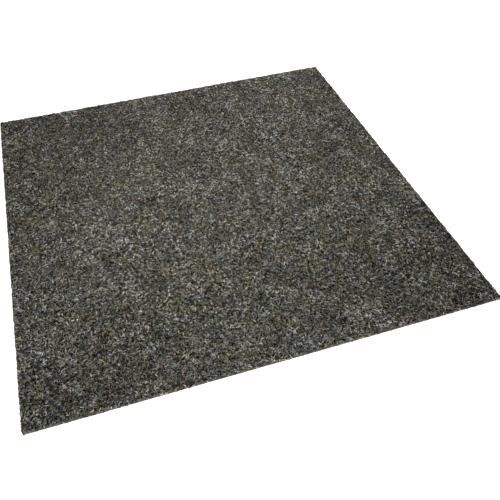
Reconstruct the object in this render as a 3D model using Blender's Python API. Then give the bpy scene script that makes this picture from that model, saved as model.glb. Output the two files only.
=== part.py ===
"""Square needle-felt carpet tile, lying on its back with the walking face up.

The tile is one piece of needle-punched felt. Fibres of several colours are laid as a batt,
punched through with barbed needles until they lock, and bonded, so the same felt shows on the
face and down the cut edges. A blade stamps the square out of the roll and leaves upright edges.
The fibre along the rim of the face works loose and rounds that arris off, and the four corners
wear a little too. The underside is pressed flat and keeps a crisp arris.

The origin is the middle of the underside. X runs along the width, Y along the length and Z up.
"""

from math import radians

import bmesh
import bpy
from mathutils import Matrix, Vector

# Driving dimensions of the tile, in metres
TILE_WIDTH = 0.500
TILE_LENGTH = 0.500
FELT_THICKNESS = 0.005
CORNER_RADIUS = 0.0015
RIM_RADIUS = 0.001

# How many flats stand in for the quarter turn of each rounding
CORNER_FLATS = 6
RIM_FLATS = 4

# Neighbouring flats of one rounding meet at less than this and shade as one curve
SMOOTH_BELOW = radians(35)

# Mottled charcoal felt seen from a few steps away, as linear colour
FELT_COLOUR = (0.078, 0.075, 0.062, 1.0)
FELT_ROUGHNESS = 0.95


def clear_scene():
    """Remove whatever the new scene starts with."""
    for leftover in list(bpy.data.objects):
        bpy.data.objects.remove(leftover, do_unlink=True)


def felt_material():
    """Dull mottled fibre with no sheen of its own."""
    felt = bpy.data.materials.new("needle_felt")
    felt.use_nodes = True
    shader = felt.node_tree.nodes["Principled BSDF"]
    shader.inputs["Base Color"].default_value = FELT_COLOUR
    shader.inputs["Roughness"].default_value = FELT_ROUGHNESS
    shader.inputs["Metallic"].default_value = 0.0
    felt.diffuse_color = FELT_COLOUR
    felt.roughness = FELT_ROUGHNESS
    return felt


def add_square_blank(bm):
    """The blank as the blade leaves it, standing on the plane of the floor."""
    bmesh.ops.create_cube(bm, size=1.0, matrix=Matrix.Translation((0.0, 0.0, 0.5)))
    bmesh.ops.scale(bm, vec=Vector((TILE_WIDTH, TILE_LENGTH, FELT_THICKNESS)), verts=bm.verts)


def is_upright(edge):
    """True for an edge of the blank that runs from the underside to the face."""
    foot, head = edge.verts
    return abs(head.co.z - foot.co.z) > FELT_THICKNESS / 2


def bounds_the_face(edge):
    """True for an edge between the walking face and one of the sides."""
    facing_up = [face for face in edge.link_faces if face.normal.z > 0.5]
    return len(facing_up) == 1


def round_edges(bm, edges, radius, flats):
    """Turn sharp edges into quarter rounds."""
    bmesh.ops.bevel(
        bm,
        geom=edges,
        affect="EDGES",
        offset_type="OFFSET",
        offset=radius,
        segments=flats,
        profile=0.5,
        material=-1,
        clamp_overlap=True,
    )
    bm.normal_update()


def felt_tile_mesh():
    """The closed solid of the tile: plan corners first, then the rim of the face."""
    bm = bmesh.new()
    add_square_blank(bm)
    bm.normal_update()
    round_edges(bm, [edge for edge in bm.edges if is_upright(edge)], CORNER_RADIUS, CORNER_FLATS)
    round_edges(bm, [edge for edge in bm.edges if bounds_the_face(edge)], RIM_RADIUS, RIM_FLATS)
    mesh = bpy.data.meshes.new("felt_tile")
    bm.to_mesh(mesh)
    bm.free()
    mesh.shade_smooth()
    mesh.set_sharp_from_angle(angle=SMOOTH_BELOW)
    return mesh


def add_felt_tile(collection):
    """The whole tile, which is a single piece of felt."""
    tile = bpy.data.objects.new("felt_tile", felt_tile_mesh())
    tile.data.materials.append(felt_material())
    collection.objects.link(tile)
    even_shading = tile.modifiers.new("even_shading", "WEIGHTED_NORMAL")
    even_shading.keep_sharp = True
    return tile


def build():
    clear_scene()
    collection = bpy.data.collections.new("needle_felt_carpet_tile")
    bpy.context.scene.collection.children.link(collection)
    add_felt_tile(collection)


build()
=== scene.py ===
# %% [markdown]
# # A needle-felt carpet tile
#
# Needle felt is made from a loose batt of short crimped fibres. Barbed needles punch the batt
# thousands of times until the fibres lock into a dense sheet, and a blade stamps square tiles
# out of it. There are no loops or tufts: what shows on the face is the tangle itself.
#
# The lesson builds the tile in the same order. First comes a matted ground with soft relief,
# then tens of thousands of curled locks of fibre in the dye shades of the blend, laid over the
# face, round the rim and down the cut sides. It starts by loading the frame, which holds the
# solid tile that the felt has to fit.

from math import pi, radians

import bmesh
import bpy
import numpy as np
from mathutils import Matrix, Vector


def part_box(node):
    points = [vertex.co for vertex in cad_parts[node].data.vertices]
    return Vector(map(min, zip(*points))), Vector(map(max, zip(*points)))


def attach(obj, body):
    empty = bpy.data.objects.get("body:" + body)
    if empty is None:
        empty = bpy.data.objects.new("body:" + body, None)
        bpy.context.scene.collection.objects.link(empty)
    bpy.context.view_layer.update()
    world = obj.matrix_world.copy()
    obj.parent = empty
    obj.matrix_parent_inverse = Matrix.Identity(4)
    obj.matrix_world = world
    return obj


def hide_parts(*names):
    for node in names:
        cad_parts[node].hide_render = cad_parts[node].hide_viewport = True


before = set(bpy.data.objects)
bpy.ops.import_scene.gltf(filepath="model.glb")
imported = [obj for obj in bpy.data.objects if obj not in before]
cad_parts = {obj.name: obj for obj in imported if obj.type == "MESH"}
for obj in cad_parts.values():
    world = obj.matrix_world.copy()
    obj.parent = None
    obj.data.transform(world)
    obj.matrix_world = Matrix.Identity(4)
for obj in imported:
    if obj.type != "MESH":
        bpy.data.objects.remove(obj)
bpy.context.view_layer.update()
print("solids in the frame:", len(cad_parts))

# %% [markdown]
# ## The tile's sizes
#
# The solid tile has its real size, so the lengths are read from its box and not typed again:
# the felt then fits the frame whatever its size. Only the two roundings can't be read from a
# box. They are the plan corners, and the rim, where the face turns down into the cut sides.

# %% Read the tile's sizes
tile_low, tile_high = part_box("felt_tile")
HALF_WIDTH = (tile_high.x - tile_low.x) / 2
HALF_LENGTH = (tile_high.y - tile_low.y) / 2
THICKNESS = tile_high.z - tile_low.z
CORNER_RADIUS = 0.0015
RIM_RADIUS = 0.001
print(f"tile {2000 * HALF_WIDTH:.0f} x {2000 * HALF_LENGTH:.0f} x {1000 * THICKNESS:.1f} mm")

# %% [markdown]
# ## The camera
#
# The photo looks down on the tile from the front, a little to its left. A camera can be moved by
# eye until the picture fits. Here the tile is known to be square, so its four corners in the
# photo give the focal length, the place and the three turns. The picture was cropped a little
# off its middle, so the lens is shifted sideways by 4 percent.

# %% Set the camera
PHOTO_SIDE = 500
FOCAL_PIXELS = 565.9
CENTRE_PIXEL = (229.84, 250.16)
SENSOR = 36.0
EYE = Vector((-0.133, -0.518, 0.487))
LOOK_DOWN, TURN_RIGHT, ROLL = radians(47.57), radians(16.78), radians(-0.92)


def add_object(name, data):
    """A new object for a mesh, a lens or a lamp, linked to the scene."""
    made = bpy.data.objects.new(name, data)
    bpy.context.scene.collection.objects.link(made)
    return made


def add_camera():
    lens = bpy.data.cameras.new("photo_camera")
    lens.sensor_width = SENSOR
    lens.lens = SENSOR * FOCAL_PIXELS / PHOTO_SIDE
    lens.shift_x = 0.5 - CENTRE_PIXEL[0] / PHOTO_SIDE
    lens.shift_y = CENTRE_PIXEL[1] / PHOTO_SIDE - 0.5
    lens.clip_start = 0.01
    camera = add_object("photo_camera", lens)
    turn = Matrix.Rotation(-TURN_RIGHT, 4, "Z") @ Matrix.Rotation(pi / 2 - LOOK_DOWN, 4, "X")
    camera.matrix_world = Matrix.Translation(EYE) @ turn @ Matrix.Rotation(ROLL, 4, "Z")
    bpy.context.scene.camera = camera
    return camera


camera = add_camera()
print(f"lens {camera.data.lens:.1f} mm, shift {camera.data.shift_x:.3f}, {camera.data.shift_y:.4f}")

# %% [markdown]
# ## The floor
#
# The tile was shot on a lit white table that burns out to white, with no shadow on it. Lamps strong
# enough to burn out a plain white plane would make the felt too pale as well, so the plane also glows
# by itself. It is part of the picture and not of the tile.

# %% Lay the floor
FLOOR_SIDE = 60.0
FLOOR_ROUGHNESS = 0.9
FLOOR_GLOW = 0.9
OFF_WHITE = (0.80, 0.80, 0.80, 1.0)
PURE_WHITE = (1.0, 1.0, 1.0, 1.0)


def mesh_from(bm, name):
    """Writes a bmesh to a new mesh and frees it."""
    mesh = bpy.data.meshes.new(name)
    bm.to_mesh(mesh)
    bm.free()
    return mesh


def new_material(name):
    """A material with nodes, and its shader."""
    material = bpy.data.materials.new(name)
    material.use_nodes = True
    return material, material.node_tree.nodes["Principled BSDF"]


def add_floor():
    bm = bmesh.new()
    bmesh.ops.create_grid(bm, x_segments=1, y_segments=1, size=FLOOR_SIDE / 2)
    floor = add_object("floor", mesh_from(bm, "floor"))
    white, shader = new_material("white_floor")
    shader.inputs["Base Color"].default_value = OFF_WHITE
    shader.inputs["Roughness"].default_value = FLOOR_ROUGHNESS
    shader.inputs["Emission Color"].default_value = PURE_WHITE
    shader.inputs["Emission Strength"].default_value = FLOOR_GLOW
    floor.data.materials.append(white)
    return floor


floor = add_floor()
print(f"floor {floor.dimensions.x:.0f} m wide")

# %% [markdown]
# ## Nodes from code
#
# The room's light and the felt's finishes are node trees. In the editor a node is picked from a
# menu, set up and wired by hand. In a script the same few lines would come back for each node,
# so one helper makes a node and sets it up, and another feeds a socket, with a plain value or
# with a link from another node's output.

# %% Make a world and the node helpers
def feed(tree, socket, value):
    """Links a node's output to a socket, or sets a plain value. A plain colour has 3 numbers."""
    if isinstance(value, bpy.types.NodeSocket):
        tree.links.new(value, socket)
    elif socket.type == "RGBA":
        socket.default_value = (*value, 1.0)
    else:
        socket.default_value = value


def add_node(tree, kind, inputs, **settings):
    """A node with its settings made and its sockets fed, by their names or numbers."""
    node = tree.nodes.new(kind)
    for name, value in settings.items():
        setattr(node, name, value)
    for key, value in inputs.items():
        feed(tree, node.inputs[key], value)
    return node


def math_node(tree, operation, first, second=0.5):
    return add_node(tree, "ShaderNodeMath", {0: first, 1: second}, operation=operation).outputs[0]


world = bpy.data.worlds.new("white_room")
world.use_nodes = True
bpy.context.scene.world = world
print("the world starts with", [node.name for node in world.node_tree.nodes])

# %% [markdown]
# ## Light from the room
#
# The cut side of the felt is a little lighter than its face, so much of the light comes in from
# the side. A ring of lamps would light it in patches. A sky that is bright at eye level and dim
# overhead does it evenly. It still looks white all over, because the camera's own rays meet
# plain white. A direction's height is the sine of its elevation: 0 at the horizon and 1 overhead.

# %% Fill the room with light
WALL_LIGHT = 2.0
CEILING_LIGHT = 0.12
WALL_TOP = 0.05
CEILING_EDGE = 0.25


def light_from_the_walls(tree):
    """Brightness of the sky, which falls from the walls to the ceiling."""
    toward = tree.nodes.new("ShaderNodeTexCoord").outputs["Generated"]
    height = add_node(tree, "ShaderNodeSeparateXYZ", {"Vector": toward}).outputs["Z"]
    inputs = {
        "Value": height,
        "From Min": WALL_TOP,
        "From Max": CEILING_EDGE,
        "To Min": WALL_LIGHT,
        "To Max": CEILING_LIGHT,
    }
    return add_node(tree, "ShaderNodeMapRange", inputs).outputs["Result"]


def white_to_the_camera(tree, light):
    """At least plain white for the camera's own rays, and the light as it is for all others."""
    seen = tree.nodes.new("ShaderNodeLightPath").outputs["Is Camera Ray"]
    return math_node(tree, "MAXIMUM", light, seen)


sky = world.node_tree
background = sky.nodes["Background"]
background.inputs["Color"].default_value = PURE_WHITE
brightness = white_to_the_camera(sky, light_from_the_walls(sky))
feed(sky, background.inputs["Strength"], brightness)
print(f"room light {WALL_LIGHT} at eye level, {CEILING_LIGHT} overhead")

# %% [markdown]
# ## Soft boxes
#
# The face is brightest along a band from its middle to the far right, so two soft boxes hang
# low over that band, and a third stands in front and lights the cut side. A sun would light the
# face evenly, and a small lamp would draw hard shadows between the fibres. A soft box is a
# square area lamp that the camera can't see. The standard view transform keeps white at white.
# Each row gives a lamp's name, its place, the point that it faces, its side and its power.

# %% Hang the soft boxes
SOFT_BOXES = (
    ("near_box", (-0.055, -0.090, 0.38), (-0.055, -0.090, 0.0), 0.30, 2.26),
    ("far_box", (0.30, 0.38, 0.53), (0.30, 0.38, 0.0), 0.28, 3.76),
    ("front_box", (-0.25, -1.00, 0.11), (-0.05, -0.25, 0.0), 0.20, 6.0),
)


def add_soft_box(name, place, aim, side, watts):
    light = bpy.data.lights.new(name, "AREA")
    light.shape = "SQUARE"
    light.size = side
    light.energy = watts
    lamp = add_object(name, light)
    lamp.location = place
    lamp.rotation_euler = (Vector(aim) - Vector(place)).to_track_quat("-Z", "Y").to_euler()
    lamp.visible_camera = False


for soft_box in SOFT_BOXES:
    add_soft_box(*soft_box)
bpy.context.scene.view_settings.view_transform = "Standard"
print(f"{len(SOFT_BOXES)} soft boxes, {sum(watts for *_, watts in SOFT_BOXES):.1f} W")

# %% [markdown]
# ## A patchy field
#
# Felt is never even. The batt has thick and thin places, and each dye shade gathers in drifts.
# Both follow the same kind of smooth random field. A noise texture gives its values to a finish,
# but here they are needed as numbers, at many thousands of places at once. So the field is
# worked out on arrays: random numbers on a lattice, blended between its knots. A seed makes the
# same field every time.

# %% Define the field
LATTICE = 512


def ease(share):
    """A smooth rise from 0 to 1, level at both ends."""
    return share * share * (3 - 2 * share)


def patchy(x, y, pitch, seed):
    """Smooth random values from -1 to 1, with hills about pitch wide."""
    knots = np.random.default_rng(seed).uniform(-1.0, 1.0, (LATTICE, LATTICE))
    u, v = x / pitch + LATTICE / 2, y / pitch + LATTICE / 2
    left, near = np.floor(u).astype(int), np.floor(v).astype(int)
    across, away = ease(u - left), ease(v - near)
    left, near = left % LATTICE, near % LATTICE
    right, far = (left + 1) % LATTICE, (near + 1) % LATTICE
    near_row = knots[left, near] * (1 - across) + knots[right, near] * across
    far_row = knots[left, far] * (1 - across) + knots[right, far] * across
    return near_row * (1 - away) + far_row * away


probe = np.linspace(-HALF_WIDTH, HALF_WIDTH, 400)
print(f"spread of the field: {patchy(*np.meshgrid(probe, probe), 0.02, 0).std():.2f}")

# %% [markdown]
# ## The height of the felt
#
# The felt's surface rolls in long waves, with lumps a few millimetres wide where fibre has
# bunched. A bump in the finish would only shade them. The heights are real here, because the
# locks have to rise and fall with the ground under them. Each row gives the height of one set of
# waves, their pitch and their seed.

# %% Define the height of the felt
FELT_WAVES = ((0.00010, 0.022, 1), (0.00018, 0.0075, 2), (0.00014, 0.0032, 3))


def felt_height(x, y):
    """How far the matted ground rises above its mean plane, in metres."""
    return sum(height * patchy(x, y, pitch, seed) for height, pitch, seed in FELT_WAVES)


relief = felt_height(*np.meshgrid(probe, probe))
print(f"relief {1000 * relief.min():.2f} to {1000 * relief.max():.2f} mm, sd {1000 * relief.std():.2f}")

# %% [markdown]
# ## The matted ground
#
# Under the loose locks lies the dense part of the felt. A plane would do for the face, but the
# cut sides and the back are felt too, so it is one closed slab: a fine grid for the face, walls
# extruded down from its border, and a fan of faces for the pressed back. It sits a little inside
# the tile's outline, because the locks laid on it bring the surface out to full size. A narrow
# hem keeps the fan clear of the corners, which are rounded next.

# %% Model the slab
FACE_CELLS = 160
WALL_ROWS = 2
GROUND_INSET = 0.0001
GROUND_DROP = 0.0006
BACK_CLEARANCE = 0.0002
BACK_HEM = 0.002


def add_walls(bm, height):
    """Rows of walls hanging from the border of the face."""
    for _ in range(WALL_ROWS):
        border = [edge for edge in bm.edges if edge.is_boundary]
        made = bmesh.ops.extrude_edge_only(bm, edges=border)["geom"]
        lower = [item for item in made if isinstance(item, bmesh.types.BMVert)]
        bmesh.ops.translate(bm, vec=(0.0, 0.0, -height / WALL_ROWS), verts=lower)


def add_back(bm):
    """The pressed back: a fan inside a hem."""
    border = [edge for edge in bm.edges if edge.is_boundary]
    back = bmesh.ops.holes_fill(bm, edges=border, sides=0)["faces"]
    bmesh.ops.recalc_face_normals(bm, faces=bm.faces)
    bmesh.ops.inset_region(bm, faces=back, thickness=BACK_HEM, use_even_offset=True)
    bmesh.ops.poke(bm, faces=back)


def add_slab(bm):
    bmesh.ops.create_grid(bm, x_segments=FACE_CELLS, y_segments=FACE_CELLS, size=1.0)
    half = Vector((HALF_WIDTH - GROUND_INSET, HALF_LENGTH - GROUND_INSET, 1.0))
    bmesh.ops.scale(bm, vec=half, verts=bm.verts)
    top = THICKNESS - GROUND_DROP
    bmesh.ops.translate(bm, vec=(0.0, 0.0, top), verts=bm.verts)
    add_walls(bm, top - BACK_CLEARANCE)
    add_back(bm)


slab = bmesh.new()
add_slab(slab)
print(f"slab: {len(slab.faces)} faces, {sum(edge.is_boundary for edge in slab.edges)} open edges")

# %% [markdown]
# ## Rounded corners and rim
#
# The blade leaves upright sides and a crisp edge at the floor, but loose fibre softens the four
# corners of the plan and the rim round the face. A Bevel modifier would round the edge at the
# floor as well. Here the edges to round are picked by the faces that meet there, and bevelled
# in the mesh itself.

# %% Round the slab off
CORNER_FLATS = 4
RIM_FLATS = 3
LEAST_RISE = THICKNESS / 10
BEND_COSINE = 0.5


def round_off(bm, edges, radius, segments):
    bmesh.ops.bevel(
        bm,
        geom=edges,
        affect="EDGES",
        offset_type="OFFSET",
        offset=radius,
        segments=segments,
        profile=0.5,
        material=-1,
    )
    bm.normal_update()


def is_corner_edge(edge):
    """True on the upright lines where two walls meet."""
    one, other = edge.link_faces
    upright = abs(edge.verts[0].co.z - edge.verts[1].co.z) > LEAST_RISE
    return upright and abs(one.normal.dot(other.normal)) < BEND_COSINE


def is_rim_edge(edge):
    """True where the face turns down into a wall."""
    return sum(face.normal.z > BEND_COSINE for face in edge.link_faces) == 1


round_off(slab, [edge for edge in slab.edges if is_corner_edge(edge)], CORNER_RADIUS, CORNER_FLATS)
round_off(slab, [edge for edge in slab.edges if is_rim_edge(edge)], RIM_RADIUS, RIM_FLATS)
print(f"rounded slab: {len(slab.faces)} faces")

# %% [markdown]
# ## The relief of the ground
#
# Every point of the ground moves outwards by the felt's height at its place. A Displace modifier
# could move them by a texture, but the locks need the same heights, so both read the one field.
# The blade left the felt even along the outline, so the relief calms down there. The field is
# slanted through the depth, or each wall would be fluted from top to bottom. The back stays
# pressed flat.

# %% Raise the relief
EDGE_CALM = 0.3
CALM_START, CALM_WIDTH = 0.0005, 0.005
FIELD_SLANT = (2.0, -1.5)
FACING_BACK = -0.5
SMOOTH_BELOW = radians(50)


def calm(x, y):
    """1 over the face, falling to EDGE_CALM at the outline."""
    inside = np.minimum(HALF_WIDTH - np.abs(x), HALF_LENGTH - np.abs(y))
    rise = ((inside - CALM_START) / CALM_WIDTH).clip(0.0, 1.0)
    return EDGE_CALM + (1 - EDGE_CALM) * ease(rise)


def swell(mesh):
    """Raises the felt's relief on the face and the walls."""
    count = len(mesh.vertices)
    place, facing = np.empty(3 * count), np.empty(3 * count)
    mesh.vertices.foreach_get("co", place)
    mesh.vertices.foreach_get("normal", facing)
    place, facing = place.reshape(-1, 3), facing.reshape(-1, 3)
    x, y, z = place.T
    lift = felt_height(x + FIELD_SLANT[0] * z, y + FIELD_SLANT[1] * z) * calm(x, y)
    lift[facing[:, 2] <= FACING_BACK] = 0.0
    place += facing * lift[:, None]
    mesh.vertices.foreach_set("co", place.ravel())
    mesh.update()


ground = add_object("matted_ground", mesh_from(slab, "matted_ground"))
swell(ground.data)
ground.data.shade_smooth()
ground.data.set_sharp_from_angle(angle=SMOOTH_BELOW)
ground.data.calc_loop_triangles()
print(f"ground: {len(ground.data.loop_triangles)} triangles")

# %% [markdown]
# ## One lock of fibre
#
# What the eye takes for a fibre at arm's length is a lock: a dozen fibres lying together, some
# four millimetres long and nearly one wide. Hair curves could draw the single fibres, but a tile
# has millions of them. A mesh of a whole lock needs few faces, and casts a true shadow. One
# straight lock is a slim spindle. Its half profile is spun round the X axis in three steps,
# which gives a closed body of 24 triangles.

# %% Spin the spindle
RING_PLACES = (0.09, 0.36, 0.64, 0.91)
RING_RADII = (0.62, 1.0, 1.0, 0.62)
LOCK_SIDES = 3
TIP_MERGE = 0.001


def spindle():
    """A closed straight lock along X from 0 to 1, with its widest rings at radius 1."""
    bm = bmesh.new()
    places = [(0.0, 0.0), *zip(RING_PLACES, RING_RADII, strict=True), (1.0, 0.0)]
    line = [bm.verts.new((along, 0.0, radius)) for along, radius in places]
    edges = [bm.edges.new(pair) for pair in zip(line[:-1], line[1:], strict=True)]
    bmesh.ops.spin(
        bm,
        geom=line + edges,
        cent=(0.0, 0.0, 0.0),
        axis=(1.0, 0.0, 0.0),
        angle=2 * pi,
        steps=LOCK_SIDES,
        use_merge=True,
    )
    bmesh.ops.remove_doubles(bm, verts=bm.verts, dist=TIP_MERGE)
    bmesh.ops.recalc_face_normals(bm, faces=bm.faces)
    return mesh_from(bm, "spindle")


lock = spindle()
print(f"one lock: {len(lock.vertices)} points, {len(lock.polygons)} faces")

# %% [markdown]
# ## Reading the spindle into arrays
#
# The felt needs tens of thousands of copies, and as many objects would be slow to handle. So the
# spindle is read into arrays, from which a whole batch is made in one go. They hold where each
# point sits along the lock, how far out it is, which points make each face, and a strip map that
# runs along the lock one way and round it the other.

# %% Read the spindle
TIP_RADIUS = 0.1


def strip_map(mesh):
    """For each corner of each face, how far along and how far round the lock it lies."""
    corners = []
    for face in mesh.polygons:
        middle = np.arctan2(face.center.y, face.center.z) % (2 * pi)
        side = int(middle / (2 * pi) * LOCK_SIDES)
        for index in face.vertices:
            point = mesh.vertices[index].co
            is_tip = np.hypot(point.y, point.z) < TIP_RADIUS
            turn = np.arctan2(point.y, point.z) / (2 * pi) * LOCK_SIDES - side
            step = 0.5 if is_tip else round(turn) % LOCK_SIDES
            corners.append((point.x, (side + step) / LOCK_SIDES))
    return np.array(corners)


LOCK_POINTS = np.array([vertex.co for vertex in lock.vertices])
LOCK_CORNERS = np.array([index for face in lock.polygons for index in face.vertices])
LOCK_FACE_SIZES = np.array([len(face.vertices) for face in lock.polygons])
LOCK_STRIP = strip_map(lock)
STATIONS = np.array([0.0, *RING_PLACES, 1.0])
LOCK_STATION = np.abs(LOCK_POINTS[:, :1] - STATIONS).argmin(1)
print(f"strip map from {LOCK_STRIP.min(0)} to {LOCK_STRIP.max(0)}")

# %% [markdown]
# ## Curling the locks
#
# Crimped fibre never lies straight. Points pushed about at random would kink a short lock and
# change its length. Instead, each lock gets a heading that turns steadily from end to end and
# wavers a little, and its midline is the sum of short steps along that heading.

# %% Curl midlines in the plane of the felt
LENGTH_MEAN = 0.0042
CURL, WAVER = 3.4, 0.7
WAVES_PER_LOCK = 1.5
STEPS = 36


def curled_midlines(rng, length):
    """Midlines that start from their own middle, and headings, at each station."""
    count = len(length)
    along = (np.arange(STEPS) + 0.5) / STEPS
    heading = rng.uniform(0.0, 2 * pi, (count, 1)) + rng.normal(0.0, CURL, (count, 1)) * (along - 0.5)
    phase = rng.uniform(0.0, 2 * pi, (count, 1))
    heading = heading + WAVER * np.sin(2 * pi * WAVES_PER_LOCK * along + phase)
    step = np.stack([np.cos(heading), np.sin(heading)], 2) * (length / STEPS)[:, None, None]
    path = np.concatenate([np.zeros((count, 1, 2)), np.cumsum(step, 1)], 1)
    path -= path.mean(1, keepdims=True)
    at = (STATIONS * STEPS).round().astype(int)
    return path[:, at], heading[:, at.clip(0, STEPS - 1)]


sample, _ = curled_midlines(np.random.default_rng(0), np.full(500, LENGTH_MEAN))
span = np.linalg.norm(sample[:, -1] - sample[:, 0], axis=1).mean()
print(f"a lock {1000 * LENGTH_MEAN:.1f} mm long spans {1000 * span:.1f} mm")

# %% [markdown]
# ## Wrapping the felt over its rim
#
# On the real tile, a lock that crosses the rim bends over it. Locks laid apart on the face and
# on each wall would leave a bare line there. So all of them are laid on one flat plan that is
# larger than the tile, and what lies past the rim is folded down: first round the rim's quarter
# circle, then straight down the wall.

# %% Fold the plan over the rim
RIM_ARC = pi / 2 * RIM_RADIUS
WALL_LENGTH = RIM_ARC + THICKNESS - RIM_RADIUS
PLAN_REACH = np.array([HALF_WIDTH, HALF_LENGTH]) - RIM_RADIUS + WALL_LENGTH


def fold_one_way(plan, half):
    """Place along one axis, drop below the face, and how the outward direction leans."""
    beyond = np.abs(plan) - (half - RIM_RADIUS)
    angle = (beyond / RIM_RADIUS).clip(0.0, pi / 2)
    straight = (beyond - RIM_ARC).clip(0.0, None)
    flat = np.minimum(np.abs(plan), half - RIM_RADIUS)
    place = np.sign(plan) * (flat + RIM_RADIUS * np.sin(angle))
    drop = RIM_RADIUS * (1 - np.cos(angle)) + straight
    return place, drop, np.sign(plan) * np.sin(angle), np.cos(angle)


def fold_over_rim(x, y, height):
    """Points in space for a place on the plan and a height above the felt."""
    place_x, drop_x, lean_x, up_x = fold_one_way(x, HALF_WIDTH)
    place_y, drop_y, lean_y, up_y = fold_one_way(y, HALF_LENGTH)
    level = THICKNESS - np.maximum(drop_x, drop_y) + np.minimum(up_x, up_y) * height
    return np.stack([place_x + lean_x * height, place_y + lean_y * height, level], -1)


print(f"the plan runs {1000 * (WALL_LENGTH - RIM_RADIUS):.2f} mm past the outline on each side")

# %% [markdown]
# ## Scattering
#
# A dye shade isn't spread evenly. It was carded into the blend in wisps, so its locks gather in
# drifts, and an even scatter would look like salt and pepper. Places are drawn at random, and
# kept more often where the shade's own patchy field is high. A lock that would reach past the
# foot of a wall is moved back onto the felt.

# %% Scatter places in drifts
DRIFT_PITCHES = (0.022, 0.009, 0.004)
DRIFT_PULLS = (0.38, 0.40, 0.20)
EVEN_CHANCE = 0.5
TRIES_PER_LOCK = 4
FOOT_GAP = 0.0003


def scatter(rng, count, seed):
    """Places on the plan, thicker where the shade's drifts are."""
    tries = rng.uniform(-1.0, 1.0, (TRIES_PER_LOCK * count, 2)) * PLAN_REACH
    chance = np.full(len(tries), EVEN_CHANCE)
    for step, (pitch, pull) in enumerate(zip(DRIFT_PITCHES, DRIFT_PULLS, strict=True)):
        chance += pull * patchy(tries[:, 0], tries[:, 1], pitch, seed + step)
    off_face = np.abs(tries) > PLAN_REACH - WALL_LENGTH
    on_felt = ~off_face.all(1)
    kept = tries[(rng.uniform(0.0, 1.0, len(tries)) < chance) & on_felt]
    return kept[:count]


def keep_on_felt(path):
    """Moves each midline in from the foot of the walls."""
    reach = PLAN_REACH - FOOT_GAP
    over = (path.max(1) - reach).clip(0.0, None) + (path.min(1) + reach).clip(None, 0.0)
    return path - over[:, None]


print(f"{len(scatter(np.random.default_rng(0), 1000, 5))} of 1000 places found")

# %% [markdown]
# ## Height in the tangle
#
# Punched fibres dive under one another. Each lock has its own bed, deep or shallow, and arches
# up from it, so that its ends sink into the ground. Few arch far: heights drawn from a gamma
# spread are mostly low, with a long tail, where an even spread would leave the felt shaggy. A
# little weave at every station makes locks pass over and under their neighbours.

# %% Draw heights along the locks
BED = (-0.00035, 0.00015)
ARCH_SHAPE, ARCH_SCALE, ARCH_LIMIT = 2.0, 0.00016, 0.0010
ARCH_FOOT = 0.02
WEAVE = 0.00018


def heights_along(rng, count):
    """Height of each lock's midline above the ground at each station."""
    bow = np.sin(pi * STATIONS.clip(ARCH_FOOT, 1 - ARCH_FOOT))
    bed = rng.uniform(*BED, (count, 1))
    arch = rng.gamma(ARCH_SHAPE, ARCH_SCALE, (count, 1)).clip(0.0, ARCH_LIMIT)
    weave = rng.normal(0.0, WEAVE, (count, len(STATIONS)))
    return bed + arch * bow + weave


heights = heights_along(np.random.default_rng(0), 1000)
print(f"midlines lie {1000 * heights.min():.2f} to {1000 * heights.max():.2f} mm from the ground")

# %% [markdown]
# ## Round the midline
#
# The spindle's points are set round each midline: sideways across its heading, and up and down
# in the tangle, flattened a little as punched fibre is. A bevelled curve would give such a body
# too, but a round one with many more faces. At the rim the locks lie closer, and the blade has
# trimmed whatever stood out of the cut sides. Last, the plan is folded over the rim.

# %% Set the spindle round its midline
FLATNESS = 0.7
RIM_LIFT = 0.00025
CUT_LIMIT = 0.0006
FACE_LIMIT = 0.004
FLOOR_GAP = 0.0001


def bodies_round(middle, heading, rise, thickness):
    """Points of whole locks in space, from values at each point of the spindle."""
    out = LOCK_POINTS[:, 1] * thickness
    x, y = middle[..., 0] - np.sin(heading) * out, middle[..., 1] + np.cos(heading) * out
    calmness = calm(x, y)
    height = rise + felt_height(middle[..., 0], middle[..., 1])
    height = height * calmness + RIM_LIFT * (1 - calmness)
    height += LOCK_POINTS[:, 2] * thickness * FLATNESS
    height = np.minimum(height, CUT_LIMIT + FACE_LIMIT * (calmness - EDGE_CALM))
    points = fold_over_rim(x, y, height)
    points[..., 2] = points[..., 2].clip(FLOOR_GAP, None)
    return points


flat_lock = bodies_round(np.zeros((1, len(LOCK_POINTS), 2)), 0.0, 0.0, 0.0005)
print(f"a flat lock reaches {1000 * (flat_lock[..., 2].max() - THICKNESS):.2f} mm above the felt")

# %% [markdown]
# ## One mesh for a whole batch
#
# All the locks of a dye shade are one mesh, filled from arrays, because thousands of objects
# joined one by one would take far longer. Each lock gets its own cell of the batch's strip map,
# with a margin round it, so no two share a spot of the map. Its own tone is kept as an attribute
# on its points.

# %% Join copies of the spindle
CELL_MARGIN = 0.08


def cells_across(count):
    """How many cells each row of the strip map needs."""
    return int(np.ceil(np.sqrt(count)))


def cells_for(count):
    """Each lock's own cell of the strip map."""
    across = cells_across(count)
    cell = np.stack([np.arange(count) % across, np.arange(count) // across], 1)
    inset = CELL_MARGIN + (1 - 2 * CELL_MARGIN) * LOCK_STRIP
    return (cell[:, None] + inset) / across


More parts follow.
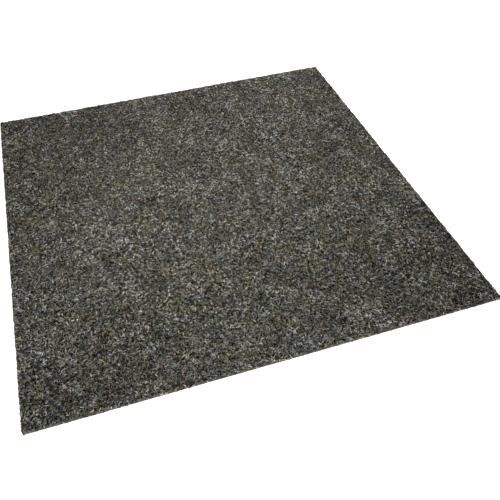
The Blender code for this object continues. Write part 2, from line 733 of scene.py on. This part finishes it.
def joined_mesh(name, points, tone):
    """One mesh from copies of the spindle, with its strip map and each lock's tone."""
    count, size = points.shape[:2]
    mesh = bpy.data.meshes.new(name)
    corners = (LOCK_CORNERS + np.arange(count)[:, None] * size).ravel()
    sizes = np.tile(LOCK_FACE_SIZES, count)
    mesh.vertices.add(count * size)
    mesh.vertices.foreach_set("co", points.ravel())
    mesh.loops.add(len(corners))
    mesh.loops.foreach_set("vertex_index", corners)
    mesh.polygons.add(len(sizes))
    mesh.polygons.foreach_set("loop_start", np.concatenate([[0], np.cumsum(sizes)[:-1]]))
    mesh.update(calc_edges=True)
    strip = mesh.uv_layers.new(name="OFBake")
    strip.uv.foreach_set("vector", cells_for(count).astype(np.float32).ravel())
    shade = mesh.attributes.new("lock_tone", "FLOAT", "POINT")
    shade.data.foreach_set("value", np.repeat(tone, size).astype(np.float32))
    mesh.shade_smooth()
    return mesh


print(f"8000 locks take {cells_across(8000)} rows of cells")

# %% [markdown]
# ## Laying a batch of locks
#
# No two locks of real felt are alike, so each copy of the spindle gets its own midline, width
# and height in the tangle. An even spread of lengths would look machine cut. In a lognormal
# spread most are near the mean, a few are much longer, and none falls to zero. A lock's tone is
# random too, since fibres don't all take the dye alike, and it drifts in patches over the tile.

# %% Lay one batch
LENGTH_SPREAD = 0.27
RADIUS_MEAN, RADIUS_SPREAD = 0.00048, 0.25
SWELLING = (0.7, 1.3)
TONE_DRIFTS = ((0.40, 0.024, 7), (0.35, 0.011, 8))


def lay_batch(name, count, seed):
    rng = np.random.default_rng(seed)
    places = scatter(rng, count, 10 * seed)
    count = len(places)
    length = LENGTH_MEAN * np.exp(rng.normal(0.0, LENGTH_SPREAD, count))
    radius = RADIUS_MEAN * np.exp(rng.normal(0.0, RADIUS_SPREAD, count))
    path, heading = curled_midlines(rng, length)
    path = keep_on_felt(path + places[:, None])
    rise = heights_along(rng, count)
    thickness = radius[:, None] * rng.uniform(*SWELLING, (count, len(STATIONS)))
    at = LOCK_STATION
    points = bodies_round(path[:, at], heading[:, at], rise[:, at], thickness[:, at])
    tone = rng.uniform(0.0, 1.0, count)
    for pull, pitch, field_seed in TONE_DRIFTS:
        tone += pull * patchy(*places.T, pitch, field_seed)
    return add_object(name, joined_mesh(name, points, tone.clip(0.0, 1.0)))


print(f"8000 locks hold {8000 * LENGTH_MEAN:.0f} m of fibre")

# %% [markdown]
# ## Noise, steps and mixes
#
# The finishes are drawn by nodes, because a painted picture of felt would show its own pixels
# close up and repeat over the tile. Four kinds of node do the work: a noise, a soft step between
# two values, a mix of two colours, and a product of two vectors. The Mix node keeps a pair of
# sockets for each type of value, so its colour sockets are known by their numbers.

# %% Define noise, steps and mixes
MIX_FACTOR, MIX_FIRST, MIX_SECOND, MIX_RESULT = 0, 6, 7, 2


def noise(tree, vector, scale, detail=2.0, seed=0.0, roughness=0.5, distortion=0.0):
    inputs = {
        "Vector": vector,
        "W": seed,
        "Scale": scale,
        "Detail": detail,
        "Roughness": roughness,
        "Distortion": distortion,
    }
    return add_node(tree, "ShaderNodeTexNoise", inputs, noise_dimensions="4D").outputs["Fac"]


def soft_step(tree, value, low, high, to_low=0.0, to_high=1.0):
    """to_low where the value is below low, to_high above high, and smooth between."""
    inputs = {"Value": value, "From Min": low, "From Max": high, "To Min": to_low, "To Max": to_high}
    node = add_node(tree, "ShaderNodeMapRange", inputs, interpolation_type="SMOOTHSTEP")
    return node.outputs["Result"]


def mix_colours(tree, factor, first, second):
    inputs = {MIX_FACTOR: factor, MIX_FIRST: first, MIX_SECOND: second}
    return add_node(tree, "ShaderNodeMix", inputs, data_type="RGBA").outputs[MIX_RESULT]


def product(tree, first, second):
    """Two vectors, or a colour and its tint, multiplied number by number."""
    node = add_node(tree, "ShaderNodeVectorMath", {0: first, 1: second}, operation="MULTIPLY")
    return node.outputs["Vector"]


print("colours are mixed from sockets", MIX_FIRST, "and", MIX_SECOND)

# %% [markdown]
# ## Dye drift
#
# The dyed fibres were carded together in wisps, so the felt is tinted in soft patches: slate
# here and olive there, russet over some of both, with small spots of ochre. Each shade of lock
# could be tinted apart, but a patch runs through all of them and through the ground, so they
# share one node group that tints by place. The tints multiply the colour that the group is
# given, and Strength says how much of the tint that colour takes up.

# %% Build the dye drift
COLOUR, VECTOR, NUMBER = "NodeSocketColor", "NodeSocketVector", "NodeSocketFloat"
SLATE_TINT = (0.96, 1.00, 1.00)
OLIVE_TINT = (0.96, 1.00, 0.75)
RUSSET_TINT = (1.21, 1.00, 0.91)
OCHRE_TINT = (1.32, 1.00, 0.50)
NO_TINT = (1.0, 1.0, 1.0)


def new_group(name, inputs, outputs):
    """An empty shader group with typed sockets, where it starts and where it ends."""
    tree = bpy.data.node_groups.new(name, "ShaderNodeTree")
    for label, kind in inputs.items():
        tree.interface.new_socket(label, in_out="INPUT", socket_type=kind)
    for label, kind in outputs.items():
        tree.interface.new_socket(label, in_out="OUTPUT", socket_type=kind)
    return tree, tree.nodes.new("NodeGroupInput").outputs, tree.nodes.new("NodeGroupOutput").inputs


def dye_drift_group():
    sockets = {"Color": COLOUR, "Vector": VECTOR, "Strength": NUMBER}
    tree, start, end = new_group("dye_drift", sockets, {"Color": COLOUR})
    place = start["Vector"]
    wisps = noise(tree, place, scale=75.0, detail=4.0, seed=21.0, roughness=0.65)
    olive = soft_step(tree, wisps, low=0.38, high=0.62)
    tint = mix_colours(tree, olive, SLATE_TINT, OLIVE_TINT)
    rust = noise(tree, place, scale=85.0, detail=4.0, seed=22.0, roughness=0.65)
    russet = soft_step(tree, rust, low=0.46, high=0.66)
    tint = product(tree, tint, mix_colours(tree, russet, NO_TINT, RUSSET_TINT))
    spots = noise(tree, place, scale=130.0, seed=23.0)
    ochre = soft_step(tree, spots, low=0.60, high=0.70)
    tint = mix_colours(tree, ochre, tint, OCHRE_TINT)
    tint = mix_colours(tree, start["Strength"], NO_TINT, tint)
    feed(tree, end["Color"], product(tree, start["Color"], tint))
    return tree


dye_drift = dye_drift_group()
print(f"{dye_drift.name}: {len(dye_drift.nodes)} nodes")

# %% [markdown]
# ## Curled filaments
#
# Single fibres lie matted in the ground as thin curly lines. A Wave texture draws lines too, but
# they run in step like the rings of a tree. The contour lines of a smooth noise wander and curl
# as fibre does, so a line is drawn wherever the noise is near its middle value. Width says how
# near.

# %% Build the curled filaments
FILAMENT_DETAIL = 0.5
FILAMENT_DISTORTION = 0.6
NOISE_MIDDLE = 0.5


def curled_filaments_group():
    """Thin curly lines: 1 on the line, 0 between."""
    sockets = {"Vector": VECTOR, "Scale": NUMBER, "Width": NUMBER, "Seed": NUMBER}
    tree, start, end = new_group("curled_filaments", sockets, {"Line": NUMBER})
    field = noise(
        tree,
        start["Vector"],
        start["Scale"],
        detail=FILAMENT_DETAIL,
        seed=start["Seed"],
        distortion=FILAMENT_DISTORTION,
    )
    away = math_node(tree, "ABSOLUTE", math_node(tree, "SUBTRACT", field, NOISE_MIDDLE))
    line = soft_step(tree, away, low=0.0, high=start["Width"], to_low=1.0, to_high=0.0)
    feed(tree, end["Line"], line)
    return tree


filaments = curled_filaments_group()
print(f"{filaments.name}: {len(filaments.nodes)} nodes")

# %% [markdown]
# ## Strand grain
#
# A lock isn't one colour. Along its length it is dappled with painted light and shade, where it turns
# in the light and its fibres part, and the single strands show as fine stripes that run along it. Noise
# in space would cut across a curled lock, so both are noise on the strip map, with so many waves along
# one lock and so many round it. They are added to the lock's own tone, and the sum chooses between a
# deep and a pale colour of the shade.

# %% Build the strand grain
LIGHT_DAPPLE_WAVES = (5.5, 5.0)
STRAND_WAVES = (1.5, 24.0)
TONE_SHARE, LIGHT_DAPPLE_SHARE, STRAND_SHARE = 0.50, 0.48, 0.25
DEEP_BELOW, PALE_ABOVE = 0.23, 1.01
DULL, SATIN = 0.85, 0.55


def along_the_lock(tree, strip, cells, waves):
    """Noise on the strip map, with its waves counted along and round one lock."""
    along, across = (math_node(tree, "MULTIPLY", cells, count) for count in waves)
    stretch = add_node(tree, "ShaderNodeCombineXYZ", {"X": along, "Y": across})
    scaled = product(tree, strip, stretch.outputs["Vector"])
    return soft_step(tree, noise(tree, scaled, scale=1.0), low=0.3, high=0.7)


def strand_grain_group():
    sockets = {"Deep": COLOUR, "Pale": COLOUR, "Cells": NUMBER}
    results = {"Color": COLOUR, "Height": NUMBER, "Roughness": NUMBER}
    tree, start, end = new_group("strand_grain", sockets, results)
    strip = add_node(tree, "ShaderNodeUVMap", {}, uv_map="OFBake").outputs["UV"]
    tone = add_node(tree, "ShaderNodeAttribute", {}, attribute_name="lock_tone").outputs["Fac"]
    # Painted light and shade along the lock, where it turns in the light and its fibres part.
    light_dapple = along_the_lock(tree, strip, start["Cells"], LIGHT_DAPPLE_WAVES)
    strands = along_the_lock(tree, strip, start["Cells"], STRAND_WAVES)
    blend = math_node(tree, "MULTIPLY", tone, TONE_SHARE)
    for value, share in ((light_dapple, LIGHT_DAPPLE_SHARE), (strands, STRAND_SHARE)):
        blend = math_node(tree, "ADD", blend, math_node(tree, "MULTIPLY", value, share))
    mixed = soft_step(tree, blend, low=DEEP_BELOW, high=PALE_ABOVE)
    feed(tree, end["Color"], mix_colours(tree, mixed, start["Deep"], start["Pale"]))
    feed(tree, end["Height"], strands)
    sheen = soft_step(tree, strands, low=0.2, high=0.8, to_low=DULL, to_high=SATIN)
    feed(tree, end["Roughness"], sheen)
    return tree


strand_grain = strand_grain_group()
print(f"{strand_grain.name}: {len(strand_grain.nodes)} nodes")

# %% [markdown]
# ## Fibre matted into the ground
#
# The ground shows in the gaps between the locks. Its colour is painted near black, as the shade of deep
# gaps where light hardly gets in, and turns pale only on the raised parts of its noise, with curly
# lines of every shade matted into it. More locks could lie there, but so deep down only their colour
# would show, so the finish draws them. The fibres lie in flat layers, so the patterns are squeezed in
# height, which shows on the cut sides. Each row gives the scale, width, seed and dye of one set of
# filaments.

# %% Draw the matted fibre
LAYER_SQUEEZE = (1.0, 1.0, 2.5)
# Near black: painted shade of the deep gaps, darker than the fibre itself.
GROUND_PAINTED_SHADE = (0.002, 0.002, 0.0015)
GROUND_PALE = (0.231, 0.228, 0.220)
GROUND_LINES = (
    (420.0, 0.065, 1.0, (0.003, 0.003, 0.002)),
    (360.0, 0.035, 2.0, (0.135, 0.133, 0.124)),
    (340.0, 0.027, 4.0, (0.320, 0.316, 0.300)),
)


def place_group(tree, group, values):
    """The outputs of a group that is placed with values of its own."""
    return add_node(tree, "ShaderNodeGroup", values, node_tree=group).outputs


def matted_fibre(tree, place):
    """Colour and height of the matted fibre, with the filaments laid over it."""
    layered = product(tree, place, LAYER_SQUEEZE)
    height = noise(tree, layered, scale=420.0, detail=3.5, seed=9.0, roughness=0.75)
    # Painted shade: near black in the hollows of the height noise, which also drives the bump, and pale
    # on its rises.
    pale = soft_step(tree, height, low=0.505, high=0.61)
    colour = mix_colours(tree, pale, GROUND_PAINTED_SHADE, GROUND_PALE)
    for scale, width, seed, dye in GROUND_LINES:
        values = {"Vector": layered, "Scale": scale, "Width": width, "Seed": seed}
        line = place_group(tree, filaments, values)["Line"]
        colour = mix_colours(tree, line, colour, dye)
        height = math_node(tree, "ADD", height, line)
    return colour, height


print(f"the ground holds {len(GROUND_LINES)} sets of filaments")

# %% [markdown]
# ## The ground's finish
#
# Where the blade cut the felt, it left a dense wall of fibre ends that is greyer and more even
# than the face. A material of its own on the walls would end in a hard line at the rim, so the
# grey is mixed in by height: none on the face, and a half share below the rim. Deep in the felt
# there is almost no gloss.

# %% Paint the ground
CUT_GREY = (0.100, 0.098, 0.093)
CUT_SHARE = 0.5
CUT_FULL, CUT_TOP = 0.0036, 0.0044
ROUGH_DEEP, ROUGH_PROUD = 0.95, 0.70
PROUD_HEIGHT = 3.0
GROUND_GLOSS = 0.03
GROUND_BUMP = 0.0003


def bump(tree, height, distance):
    return add_node(tree, "ShaderNodeBump", {"Height": height, "Distance": distance}).outputs["Normal"]


def ground_material():
    material, shader = new_material("matted_ground")
    tree = material.node_tree
    place = tree.nodes.new("ShaderNodeTexCoord").outputs["Object"]
    colour, height = matted_fibre(tree, place)
    level = add_node(tree, "ShaderNodeSeparateXYZ", {"Vector": place}).outputs["Z"]
    # Below the rim, half of the ground's colour, painted shade and all, gives way to the cut grey.
    cut = soft_step(tree, level, low=CUT_FULL, high=CUT_TOP, to_low=CUT_SHARE, to_high=0.0)
    values = {"Color": mix_colours(tree, cut, colour, CUT_GREY), "Vector": place, "Strength": 1.0}
    rough = soft_step(tree, height, low=0.0, high=PROUD_HEIGHT, to_low=ROUGH_DEEP, to_high=ROUGH_PROUD)
    feed(tree, shader.inputs["Base Color"], place_group(tree, dye_drift, values)["Color"])
    feed(tree, shader.inputs["Roughness"], rough)
    feed(tree, shader.inputs["Normal"], bump(tree, height, GROUND_BUMP))
    shader.inputs["Specular IOR Level"].default_value = GROUND_GLOSS
    return material


ground.data.materials.append(ground_material())
print(f"ground painted by {len(ground.active_material.node_tree.nodes)} nodes")

# %% [markdown]
# ## The finish of the locks
#
# Six materials set up by hand would drift apart as they are tuned. One function makes the finish
# of every shade: strand grain for the colour along the lock, dye drift for the tint of its
# patch, and a fine bump from the strands. Felt has hardly any gloss.

# %% Define the finish of the locks
LOCK_GLOSS = 0.06
STRAND_BUMP = 0.0001


def lock_material(name, count, tint, deep, pale):
    material, shader = new_material(name)
    tree = material.node_tree
    shades = {"Deep": deep, "Pale": pale, "Cells": float(cells_across(count))}
    grain = place_group(tree, strand_grain, shades)
    place = tree.nodes.new("ShaderNodeTexCoord").outputs["Object"]
    values = {"Color": grain["Color"], "Vector": place, "Strength": tint}
    feed(tree, shader.inputs["Base Color"], place_group(tree, dye_drift, values)["Color"])
    feed(tree, shader.inputs["Roughness"], grain["Roughness"])
    feed(tree, shader.inputs["Normal"], bump(tree, grain["Height"], STRAND_BUMP))
    shader.inputs["Specular IOR Level"].default_value = LOCK_GLOSS
    return material


print(f"gloss of the locks {LOCK_GLOSS}, of the ground {GROUND_GLOSS}")

# %% [markdown]
# ## The blend
#
# Six dye shades were carded together. Charcoal, anthracite and two greys make up most of it,
# pale grey gives the sparkle, and a little ochre gives the warm flecks. One mesh with a random
# colour on each lock would also do, but a batch for each shade can drift by itself. Each row
# gives a shade's name, how many locks it has, its seed, how much of the patches' tint it takes
# up, and its deep and pale colours. The dark shades take up more of the tint.

# %% Lay the six shades
BLEND = (
    ("charcoal_locks", 8300, 11, 1.0, (0.002, 0.002, 0.0015), (0.011, 0.010, 0.008)),
    ("anthracite_locks", 8300, 12, 1.0, (0.005, 0.004, 0.003), (0.083, 0.079, 0.073)),
    ("grey_locks", 7600, 13, 0.9, (0.038, 0.036, 0.034), (0.266, 0.262, 0.255)),
    ("light_grey_locks", 8000, 14, 0.6, (0.106, 0.104, 0.101), (0.480, 0.476, 0.465)),
    ("pale_locks", 5600, 15, 0.4, (0.250, 0.247, 0.241), (0.680, 0.674, 0.654)),
    ("ochre_locks", 500, 16, 0.3, (0.088, 0.056, 0.029), (0.250, 0.170, 0.102)),
)

batches = []
for name, count, seed, tint, deep, pale in BLEND:
    batch = lay_batch(name, count, seed)
    batch.data.materials.append(lock_material(name, count, tint, deep, pale))
    batch.data.calc_loop_triangles()
    batches.append(batch)
    print(f"{name}: {len(batch.data.loop_triangles)} triangles")

# %% [markdown]
# ## Fixing the pieces to the frame
#
# Ground and locks together stand for the one solid of the tile, so they ride on its body. The felt is a
# sheet that was cut to its full size and lies flat on the floor. It was never draped or stretched, so
# no cloth simulation is needed.

# %% Fix the pieces
for piece in [ground, *batches]:
    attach(piece, "root")
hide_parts("felt_tile")
print(f"{len(batches) + 1} pieces ride on the tile's body")
